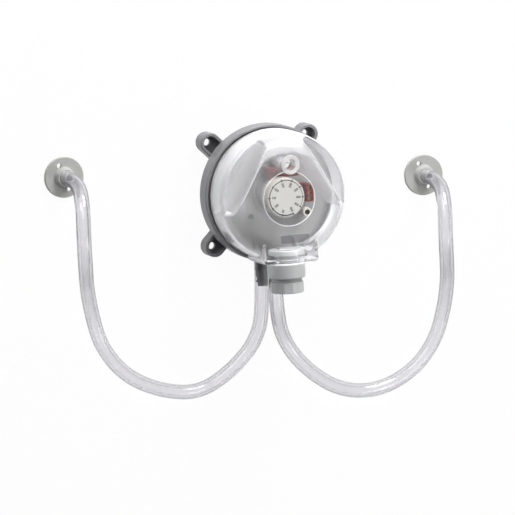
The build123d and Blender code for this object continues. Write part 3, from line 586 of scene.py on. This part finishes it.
def new_material(name):
    """A material that uses nodes, with its node tree and its Principled BSDF."""
    material = bpy.data.materials.new(name)
    material.use_nodes = True
    return material, material.node_tree, material.node_tree.nodes["Principled BSDF"]


def moulded_effect(tree, colour, roughness, clouding, grain, marks):
    """Outputs of the moulded plastic group with a material's own values."""
    effect = tree.nodes.new("ShaderNodeGroup")
    effect.node_tree = moulded_group()
    feed(tree, effect, {"Colour": (*colour, 1.0), "Clouding": clouding, "Grain Scale": grain,
                        "Roughness": roughness, "Marks": marks})
    return effect.outputs


def plastic(name, colour, roughness, clouding=0.06, marks=0.10, bump=0.25, coat=0.0,
            metallic=0.0):
    """Opaque moulded plastic, rubber or plated metal."""
    found = bpy.data.materials.get(name)
    if found:
        return found
    material, tree, shader = new_material(name)
    effect = moulded_effect(tree, colour, roughness, clouding, grain=2500.0, marks=marks)
    relief = add_node(tree, "ShaderNodeBump", {
        "Height": effect["Height"], "Strength": bump, "Distance": MM * 0.05})
    feed(tree, shader, {
        "Base Color": effect["Colour"], "Roughness": effect["Roughness"],
        "Normal": relief.outputs["Normal"], "Metallic": metallic, "Coat Weight": coat,
        "Coat Roughness": 0.15})
    return material


def clear(name, tint, roughness, ior, light_through, haze=0.0, rim_haze=0.0,
          milk_and_painted_light_colour=(0.9, 0.9, 0.92), rim_power=3.0, wave=0.0, painted_light_rise=None, veil=None):
    """Clear moulding: light from the lamps passes through it, so that what lies inside is lit.

    Haze is a milky share all over, rim_haze one that grows where the surface turns from the view.
    The milk takes milk_and_painted_light_colour: its dark grey is painted shade on the hose's rims
    and in the label recess, its bright white a painted highlight on the lip and window line.
    A painted_light_rise is two heights along Y: up to the first, a quarter of the milky share is
    left, and from the second all of it, so that the moulding is milkier and lighter towards the top
    as painted light. A veil is a ring about the Z axis, with its inner radius, outer radius, foot,
    more haze and more roughness."""
    found = bpy.data.materials.get(name)
    if found:
        return found
    material, tree, shader = new_material(name)
    effect = moulded_effect(tree, tint, roughness, clouding=0.02, grain=120.0, marks=roughness)
    feed(tree, shader, {"Transmission Weight": 1.0, "IOR": ior, "Base Color": effect["Colour"]})
    if wave > 0:
        relief = add_node(tree, "ShaderNodeBump", {
            "Height": effect["Height"], "Strength": wave, "Distance": MM * 0.3})
        feed(tree, shader, {"Normal": relief.outputs["Normal"]})
    facing = add_node(tree, "ShaderNodeLayerWeight").outputs["Facing"]
    bend = math_step(tree, "POWER", facing, rim_power)
    milkiness = math_step(tree, "MULTIPLY_ADD", bend, rim_haze, haze)
    blur = effect["Roughness"]
    # Painted light: the milky share grows along Y, so the moulding is lighter towards the top
    if painted_light_rise is not None:
        height = add_node(tree, "ShaderNodeSeparateXYZ", {0: object_place(tree)}).outputs["Y"]
        painted_light_share = smooth_step(tree, height, *painted_light_rise, lowest=0.25)
        milkiness = math_step(tree, "MULTIPLY", milkiness, painted_light_share)
    if veil is not None:
        *extent, more_haze, more_roughness = veil
        ring = ring_mask(tree, *extent)
        milkiness = math_step(tree, "MULTIPLY_ADD", ring, more_haze, milkiness)
        blur = math_step(tree, "MULTIPLY_ADD", ring, more_roughness, blur)
    feed(tree, shader, {"Roughness": blur})
    milk = add_node(tree, "ShaderNodeBsdfDiffuse", {"Color": (*milk_and_painted_light_colour, 1.0)})
    body = mix_shaders(tree, milkiness, shader, milk)
    passing = add_node(tree, "ShaderNodeBsdfTransparent", {
        "Color": (light_through, light_through, light_through, 1.0)})
    ray = add_node(tree, "ShaderNodeLightPath").outputs["Is Shadow Ray"]
    show(tree, "Material Output", mix_shaders(tree, ray, body, passing))
    return material


def cream():
    """Cream plastic of the knob and the trimming screw's sleeve."""
    colour = bpy.context.scene.pressure_dial.knob_colour
    return plastic("Dial Cream", colour, roughness=0.35, coat=0.2)


def finish(name):
    """One of the plain finishes."""
    return plastic(name, **FINISHES[name])


# ---- stage

class PRESSURE_OT_stage(bpy.types.Operator):
    """Camera at the photograph's angle, studio lamps, pale floor and world"""
    bl_idname = "pressure.stage"
    bl_label = "Studio Stage"

    def execute(self, context):
        stage = context.scene.pressure_stage
        self.add_camera(context, stage)
        self.add_floor(stage)
        self.add_lamps()
        self.add_world(context, stage)
        context.scene.view_settings.view_transform = "Standard"
        return {"FINISHED"}

    def add_camera(self, context, stage):
        right = Vector(stage.view_right).normalized()
        back = right.cross(Vector(stage.view_up)).normalized()
        up = back.cross(right)
        data = bpy.data.cameras.new("studio_camera")
        data.lens = data.sensor_width * stage.distance / stage.view_width
        data.clip_start = stage.distance * 0.1
        data.clip_end = stage.distance * 10
        camera = new_object("studio_camera", data)
        turn = Matrix((right, up, back)).transposed()
        place = Vector(stage.aim) + back * stage.distance
        camera.matrix_world = Matrix.Translation(place) @ turn.to_4x4()
        context.scene.camera = camera

    def add_floor(self, stage):
        bpy.ops.object.select_all(action="DESELECT")
        bpy.ops.mesh.primitive_plane_add(size=stage.floor_size, location=(0, 0, -stage.floor_drop))
        floor = bpy.context.active_object
        floor.name = "studio_floor"
        material, tree, shader = new_material("Pale Floor")
        tree.nodes.remove(shader)
        matt = add_node(tree, "ShaderNodeBsdfDiffuse", {"Color": (*stage.floor_colour, 1.0)})
        white = add_node(tree, "ShaderNodeEmission")
        ray = add_node(tree, "ShaderNodeLightPath").outputs
        seen = math_step(tree, "MAXIMUM", ray["Is Camera Ray"], ray["Is Glossy Ray"])
        seen = math_step(tree, "MAXIMUM", seen, ray["Is Transmission Ray"])
        share = math_step(tree, "MULTIPLY", seen, stage.floor_white)
        show(tree, "Material Output", mix_shaders(tree, share, matt, white))
        cover_with(floor, material)

    def add_lamps(self):
        for name, place, size, power in LAMPS:
            data = bpy.data.lights.new(name, "AREA")
            data.size = size
            data.energy = power
            lamp = new_object(name, data)
            lamp.location = place
            lamp.rotation_euler = (-Vector(place)).to_track_quat("-Z", "Y").to_euler()

    def add_world(self, context, stage):
        """Dim light from all round, and plain white where the camera looks past the floor."""
        world = bpy.data.worlds.new("studio_world")
        context.scene.world = world
        world.use_nodes = True
        tree = world.node_tree
        light = tree.nodes["Background"]
        feed(tree, light, {"Color": (*stage.world_colour, 1.0)})
        white = add_node(tree, "ShaderNodeBackground", {"Color": (1.0, 1.0, 1.0, 1.0)})
        ray = add_node(tree, "ShaderNodeLightPath").outputs["Is Camera Ray"]
        show(tree, "World Output", mix_shaders(tree, ray, light, white))


# ---- hoses

def route_curve(name, points):
    """NURBS curve with the route's points as its control points."""
    data = bpy.data.curves.new(name, "CURVE")
    data.dimensions = "3D"
    spline = data.splines.new("NURBS")
    spline.points.add(len(points) - 1)
    for target, point in zip(spline.points, points):
        target.co = (*point, 1.0)
    spline.order_u = 3
    spline.use_endpoint_u = True
    spline.resolution_u = 20
    return new_object(name, data)


def curve_points(curve):
    """Points along a curve's own line, in order."""
    graph = bpy.context.evaluated_depsgraph_get()
    mesh = bpy.data.meshes.new_from_object(curve.evaluated_get(graph))
    points = [vertex.co.copy() for vertex in mesh.vertices]
    bpy.data.meshes.remove(mesh)
    return points


def hose_mesh(name, curve, outer, inner, sides):
    """Clear hose: a round tube with an inner wall, open at both ends where its fittings go in."""
    curve.data.bevel_depth = outer / 2
    curve.data.bevel_resolution = sides // 4 - 1
    curve.data.use_fill_caps = False
    select_only(curve)
    bpy.ops.object.convert(target="MESH")
    tube = bpy.context.active_object
    tube.name = name
    edit(tube)
    weld()
    leave_edit()
    wall = tube.modifiers.new("Wall", "SOLIDIFY")
    wall.thickness = (outer - inner) / 2
    wall.offset = -1.0
    wall.use_even_offset = True
    bpy.ops.object.modifier_apply(modifier=wall.name)
    settle(tube, smooth_angle=60.0)
    return tube


class PRESSURE_OT_hoses(bpy.types.Operator):
    """Two clear hoses from the casing's ports to the duct connectors"""
    bl_idname = "pressure.hoses"
    bl_label = "Clear Hoses"

    def execute(self, context):
        hose = context.scene.pressure_hose
        # Painted shade: dark grey milk darkens the hose's edges
        material = clear("Clear Hose", hose.tint, hose.roughness, ior=1.42, light_through=0.90,
                         haze=hose.haze, rim_haze=hose.rim_haze, milk_and_painted_light_colour=hose.milk_and_painted_light_colour,
                         rim_power=2.0)
        for side, route in (("left", LEFT_ROUTE), ("right", RIGHT_ROUTE)):
            curve = route_curve(f"hose_line_{side}", route)
            points = curve_points(curve)
            tube = hose_mesh(f"clear_hose_{side}", curve, hose.outer, hose.inner, hose.sides)
            cover_with(tube, material)
            stand_for(tube, f"hose_{side}")
        return {"FINISHED"}


# ---- duct connectors

class PRESSURE_OT_connectors(bpy.types.Operator):
    """Screwed duct connectors with a conical socket and a hose spigot"""
    bl_idname = "pressure.connectors"
    bl_label = "Duct Connectors"

    def execute(self, context):
        casing = context.scene.pressure_casing
        material = plastic("Connector Plastic", casing.connector_colour, roughness=0.42, bump=0.3)
        for side in ("left", "right"):
            mould(f"duct_connector_{side}", casing.edge_radius, material, f"duct_fitting_{side}")
        return {"FINISHED"}


# ---- casing

class PRESSURE_OT_casing(bpy.types.Operator):
    """Rear shell with its ears and ring, front housing and the screws that join them"""
    bl_idname = "pressure.casing"
    bl_label = "Casing"

    def execute(self, context):
        casing = context.scene.pressure_casing
        mould("rear_shell", casing.edge_radius,
              plastic("Casing Plastic", casing.casing_colour, roughness=0.40, bump=0.35))
        mould("switch_housing", casing.edge_radius,
              plastic("Housing Plastic", casing.housing_colour, roughness=0.45, bump=0.3))
        paint("case_screws", finish("Zinc Plate"))
        paint("cover_seal", finish("Seal Rubber"))
        return {"FINISHED"}


# ---- cover

class PRESSURE_OT_cover(bpy.types.Operator):
    """Clear domed cover with grips, screw well, dial window and gland bay, and its captive screw"""
    bl_idname = "pressure.cover"
    bl_label = "Clear Cover"

    def execute(self, context):
        cover = context.scene.pressure_cover
        moulding = dressed("cover", cover.edge_radius)
        veil = (cover.window_radius, cover.face_radius + MM * 0.5,
                cover.window_height - cover.veil_depth, cover.veil_haze, cover.veil_roughness)
        cover_with(moulding, clear(
            "Clear Cover", cover.tint, cover.roughness, cover.ior, light_through=0.93,
            haze=cover.haze, rim_haze=cover.rim_haze, rim_power=1.6, wave=0.03, veil=veil))
        self.frost_sides(cover, moulding)
        self.shade_label_recess(cover, moulding)
        stand_for(moulding, "cover")
        self.add_window_highlight_line(cover)
        screw_radius = context.scene.pressure_casing.screw_radius
        mould("cover_screw", screw_radius, finish("Cover Screw Plastic"))
        return {"FINISHED"}

    def highlighted(self, cover):
        """Milky white finish that paints a highlight on the lip round the screw well and on the
        line round the dial window.
        """
        return clear("Painted Highlight Edge", cover.tint, roughness=0.3, ior=cover.ior,
                     light_through=0.95, haze=0.65, milk_and_painted_light_colour=(0.95, 0.95, 0.95))

    def frost_sides(self, cover, moulding):
        """Gives the dome round the flat front face a milkier finish that grows lighter towards the
        top as painted light, leaves the well clear, and gives the well's lip a milky white painted
        highlight.
        """
        moulding.data.materials.append(clear(
            "Clear Cover Side", cover.tint, cover.side_roughness, cover.ior, light_through=0.93,
            haze=cover.side_haze, rim_haze=0.35, milk_and_painted_light_colour=(0.88, 0.88, 0.90), rim_power=1.6,
            painted_light_rise=(cover.painted_light_low, cover.painted_light_high)))
        moulding.data.materials.append(clear(
            "Clear Well", cover.tint, cover.roughness, cover.ior, light_through=0.95, haze=0.01,
            rim_haze=0.12, rim_power=2.0))
        moulding.data.materials.append(self.highlighted(cover))
        axis = Vector((*cover.well_centre, 0.0))
        well_reach = cover.well_radius + MM * 0.3
        side_start = cover.face_radius - MM * 0.2
        half_bay, bay_start = cover.bay_size
        for face in moulding.data.polygons:
            in_bay = abs(face.center.x) < half_bay and face.center.y < bay_start
            if (face.center - axis).xy.length < well_reach:
                face.material_index = LIP_HIGHLIGHT if face.center.z > cover.lip_highlight_height else WELL
            elif face.center.xy.length > side_start and not in_bay:
                face.material_index = SIDE

    def shade_label_recess(self, cover, moulding):
        """Paints shade into the label recess: its floor gets a greyer, hazier finish of its own."""
        moulding.data.materials.append(clear(
            "Label Field", cover.label_shade, roughness=0.15, ior=cover.ior, light_through=0.8,
            haze=0.40, milk_and_painted_light_colour=(0.26, 0.26, 0.27)))
        middle = Vector(cover.label_field)
        half_width, half_height = (side / 2 for side in cover.label_size)
        for face in moulding.data.polygons:
            place = face.center - middle
            inside = abs(place.x) < half_width and abs(place.y) < half_height
            if inside and abs(place.z) < MM * 0.2 and face.normal.z > 0.9:
                face.material_index = LABEL_SHADE

    def add_window_highlight_line(self, cover):
        """Thin raised line round the dial window, milky white as a painted highlight on the
        window's edge.
        """
        inner = cover.window_radius - cover.line_width / 2
        outer = cover.window_radius + cover.line_width / 2
        line = turned_piece(
            "window_highlight_line",
            [(inner, 0), (outer, 0), (outer, cover.line_width), (inner, cover.line_width)],
            (0, 0, 1), (0, 0, cover.window_height), steps=96)
        settle(line)
        cover_with(line, self.highlighted(cover))
        beside(line, "cover")


# ---- dial

def around(radius, angle, height):
    """Place at a radius and an angle about the Z axis."""
    return Vector((radius * math.cos(angle), radius * math.sin(angle), height))


class PRESSURE_OT_dial(bpy.types.Operator):
    """Cream adjusting knob with its printed scale"""
    bl_idname = "pressure.dial"
    bl_label = "Dial"

    def execute(self, context):
        dial = context.scene.pressure_dial
        casing = context.scene.pressure_casing
        mould("dial_knob", casing.small_radius, cream())
        plate = dressed("dial_scale", casing.plate_radius)
        cover_with(plate, plastic("Scale Plate", dial.scale_colour, roughness=0.4, clouding=0.03))
        stand_for(plate, "dial_scale")
        top = max(vertex.co.z for vertex in plate.data.vertices) + dial.print_height
        select_only(*self.scale_line(dial, top), *self.scale_marks(dial, top),
                    *self.scale_numbers(dial, top))
        bpy.ops.object.join()
        marks = bpy.context.active_object
        marks.name = "dial_print"
        settle(marks)
        cover_with(marks, plastic("Scale Print", dial.print_colour, roughness=0.5, clouding=0.02))
        beside(marks, "dial_scale")
        return {"FINISHED"}

    def mark_angles(self, dial):
        """Angle of each mark from +X. The steps get narrower from the first mark to the last."""
        swing = dial.last_angle - dial.first_angle
        shares = [index / (dial.mark_count - 1) for index in range(dial.mark_count)]
        return [dial.first_angle + swing * (share + dial.mark_spread * share * (1 - share))
                for share in shares]

    def scale_line(self, dial, top):
        """Round line of the scale, one arc from mark to mark, each thinner than the one before."""
        angles = self.mark_angles(dial)
        arcs = []
        for index, (start, end) in enumerate(zip(angles, angles[1:])):
            share = index / (dial.mark_count - 2)
            width = dial.line_width * (1 - share) + dial.thin_line_width * share
            name = f"scale_arc_{index}"
            arcs.append(self.flat_arc(name, dial.line_radius, width, top, start, end))
        return arcs

    def flat_arc(self, name, radius, width, height, start, end):
        """Flat strip along part of a circle: a short edge spun about the dial's axis."""
        inner = around(radius - width / 2, start, height)
        outer = around(radius + width / 2, start, height)
        strip = lone_vertex(name, inner)
        bpy.ops.mesh.extrude_region_move(TRANSFORM_OT_translate={"value": outer - inner})
        bpy.ops.mesh.select_all(action="SELECT")
        bpy.ops.mesh.spin(steps=12, angle=end - start, center=(0, 0, height), axis=(0, 0, 1))
        weld()
        # A flat strip has no outside, so its faces are turned to the front
        strip.update_from_editmode()
        if sum(face.normal.z for face in strip.data.polygons) < 0:
            bpy.ops.mesh.flip_normals()
        leave_edit()
        return strip

    def scale_marks(self, dial, top):
        """Short radial marks across the line."""
        marks = []
        for index, angle in enumerate(self.mark_angles(dial)):
            middle = dial.line_radius + dial.mark_length * dial.mark_shift
            place = around(middle, angle, top + dial.print_height)
            bpy.ops.object.select_all(action="DESELECT")
            bpy.ops.mesh.primitive_plane_add(size=1, location=place, rotation=(0, 0, angle))
            mark = bpy.context.active_object
            mark.name = f"scale_mark_{index}"
            mark.scale = (dial.mark_length, dial.mark_width, 1)
            settle(mark)
            marks.append(mark)
        return marks

    def scale_numbers(self, dial, top):
        """Plain numbers that stand along the radius inside the line."""
        numbers = []
        for index, angle in enumerate(self.mark_angles(dial)):
            data = bpy.data.curves.new(f"scale_number_{index}", "FONT")
            data.body = str(dial.number_step * (index + 1))
            data.size = dial.number_size
            data.resolution_u = 3
            data.offset = dial.number_size * dial.number_weight
            data.align_y = "CENTER"
            leftward = math.cos(angle) < 0
            data.align_x = "LEFT" if leftward else "RIGHT"
            number = new_object(data.name, data)
            number.location = around(dial.line_radius - dial.number_gap, angle, top)
            number.rotation_euler = (0, 0, angle + math.pi if leftward else angle)
            select_only(number)
            bpy.ops.object.convert(target="MESH")
            number = bpy.context.active_object
            settle(number)
            numbers.append(number)
        return numbers


# ---- switch and wiring parts

class PRESSURE_OT_switchgear(bpy.types.Operator):
    """Snap switch, terminal block, trimming screw and deck screw"""
    bl_idname = "pressure.switchgear"
    bl_label = "Switch and Terminals"

    def execute(self, context):
        casing = context.scene.pressure_casing
        red = plastic("Switch Red", casing.switch_colour, roughness=0.38)
        for node in ("snap_switch", "terminal_block"):
            mould(node, casing.small_radius, red)
        paint("switch_tabs", finish("Plated Brass"))
        paint("clamp_screws", finish("Plated Brass"))
        sleeve = dressed("trim_sleeve", casing.small_radius)
        cover_with(sleeve, cream())
        # Painted shade: the sleeve's bore is lined near-black
        self.paint_bore_shade(sleeve)
        stand_for(sleeve, "trim_sleeve")
        paint("trim_screw", finish("Dark Button And Bore Shade"))
        paint("deck_screw", finish("Dark Steel"))
        return {"FINISHED"}

    def paint_bore_shade(self, sleeve):
        """Paints shade into the bore: the faces that look towards the sleeve's axis get a
        near-black finish.
        """
        shade_slot = len(sleeve.data.materials)
        sleeve.data.materials.append(finish("Dark Button And Bore Shade"))
        places = [vertex.co for vertex in sleeve.data.vertices]
        middle = sum(places, Vector()) / len(places)
        for face in sleeve.data.polygons:
            inward = middle - face.center
            inward.z = 0
            if abs(face.normal.z) < 0.5 and face.normal.dot(inward) > 0:
                face.material_index = shade_slot


# ---- gland

class PRESSURE_OT_gland(bpy.types.Operator):
    """Cable gland: body, faceted nut, rubber sleeve and thrust ring"""
    bl_idname = "pressure.gland"
    bl_label = "Cable Gland"

    def execute(self, context):
        casing = context.scene.pressure_casing
        material = plastic("Gland Plastic", casing.gland_colour, roughness=0.45, bump=0.4)
        for node, radius in (("gland_body", casing.edge_radius), ("gland_nut", casing.nut_radius)):
            mould(node, radius, material, segments=3)
        paint("gland_seal", finish("Gland Rubber"))
        paint("gland_clamp_ring", finish("Inner Plastic"))
        return {"FINISHED"}


# ---- parts inside

class PRESSURE_OT_inside(bpy.types.Operator):
    """Diaphragm, plate, spring and the small parts of the adjuster"""
    bl_idname = "pressure.inside"
    bl_label = "Inner Parts"

    def execute(self, context):
        paint("diaphragm", finish("Silicone"))
        paint("diaphragm_plate", finish("Inner Plastic"))
        paint("spring_seat", finish("Inner Plastic"))
        paint("stem_clip", finish("Spring Steel"))
        paint("switch_button", finish("Dark Button And Bore Shade"))
        self.add_spring(context.scene.pressure_inside.spring_share)
        return {"FINISHED"}

    def add_spring(self, share):
        """Range spring in two lengths, cut at a share of its height, one below the cut and one
        above.
        """
        low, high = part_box("range_spring")
        middle = low[2] + share * (high[2] - low[2])
        ends = {"lower": (low[2], "plate", "casing"),
                "upper": (high[2], "casing", "spring_adjuster")}
        for name, (end, below, above) in ends.items():
            coils = dressed("range_spring", 0, f"spring_{name}_coils")
            edit(coils)
            bpy.ops.mesh.bisect(plane_co=(0, 0, middle), plane_no=(0, 0, 1), use_fill=False,
                                clear_inner=name == "upper", clear_outer=name == "lower")
            leave_edit()
            settle(coils, smooth_angle=40.0)
            cover_with(coils, finish("Spring Steel"))
            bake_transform(coils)
            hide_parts("range_spring")


# ---- panel and registration

class PRESSURE_PT_panel(bpy.types.Panel):
    """Pressure switch tools"""
    bl_label = "Pressure Switch"
    bl_idname = "PRESSURE_PT_panel"
    bl_space_type = "VIEW_3D"
    bl_region_type = "UI"
    bl_category = "Pressure Switch"

    def draw(self, context):
        column = self.layout.column(align=True)
        for operator in OPERATORS:
            column.operator(operator.bl_idname)
        for name in SETTINGS:
            group = getattr(context.scene, name)
            box = self.layout.box()
            for key in group.__annotations__:
                box.prop(group, key)


OPERATORS = (
    PRESSURE_OT_stage,
    PRESSURE_OT_connectors,
    PRESSURE_OT_hoses,
    PRESSURE_OT_casing,
    PRESSURE_OT_cover,
    PRESSURE_OT_dial,
    PRESSURE_OT_switchgear,
    PRESSURE_OT_gland,
    PRESSURE_OT_inside,
)
SETTINGS = {
    "pressure_stage": StageSettings,
    "pressure_hose": HoseSettings,
    "pressure_casing": CasingSettings,
    "pressure_dial": DialSettings,
    "pressure_cover": CoverSettings,
    "pressure_inside": InsideSettings,
}


def register():
    for name, group in SETTINGS.items():
        bpy.utils.register_class(group)
        setattr(bpy.types.Scene, name, PointerProperty(type=group))
    for operator in OPERATORS:
        bpy.utils.register_class(operator)
    bpy.utils.register_class(PRESSURE_PT_panel)


def unregister():
    bpy.utils.unregister_class(PRESSURE_PT_panel)
    for operator in reversed(OPERATORS):
        bpy.utils.unregister_class(operator)
    for name, group in reversed(SETTINGS.items()):
        delattr(bpy.types.Scene, name)
        bpy.utils.unregister_class(group)


def main():
    register()
    bpy.ops.pressure.stage()
    bpy.ops.pressure.connectors()
    bpy.ops.pressure.hoses()
    bpy.ops.pressure.casing()
    bpy.ops.pressure.cover()
    bpy.ops.pressure.dial()
    bpy.ops.pressure.switchgear()
    bpy.ops.pressure.gland()
    bpy.ops.pressure.inside()


if __name__ == "__main__":
    main()
